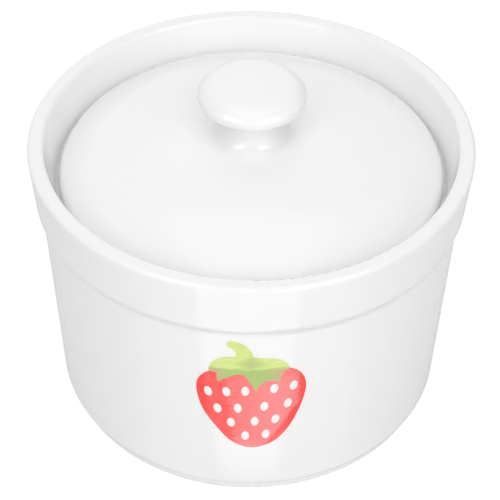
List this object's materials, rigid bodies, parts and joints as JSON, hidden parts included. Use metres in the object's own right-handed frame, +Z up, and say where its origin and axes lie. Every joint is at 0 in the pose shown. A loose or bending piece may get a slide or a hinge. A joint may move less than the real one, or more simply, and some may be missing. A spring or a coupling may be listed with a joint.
{
  "type": "chawanmushi cup with lid",
  "caption": "White glazed porcelain cup for steamed egg custard, with a collar band, a low foot ring, a strawberry print on the front and an inset domed lid with a button knob.",
  "frame": {"origin": "on the cup's axis, on the plane that its foot ring stands on", "axes": "+Z up along the cup's axis, the print faces -Y, +X to the right of someone who looks at the print"},
  "size_m": [0.088, 0.088, 0.0739],
  "materials": {
    "porcelain": "gloss glaze",
    "print_red": "fired enamel under gloss glaze",
    "print_green": "fired enamel under gloss glaze"
  },
  "bodies": {
    "root": {"cup": "porcelain", "lid": "porcelain", "print_fruit": "print_red", "print_leaves": "print_green"}
  },
  "joints": []
}
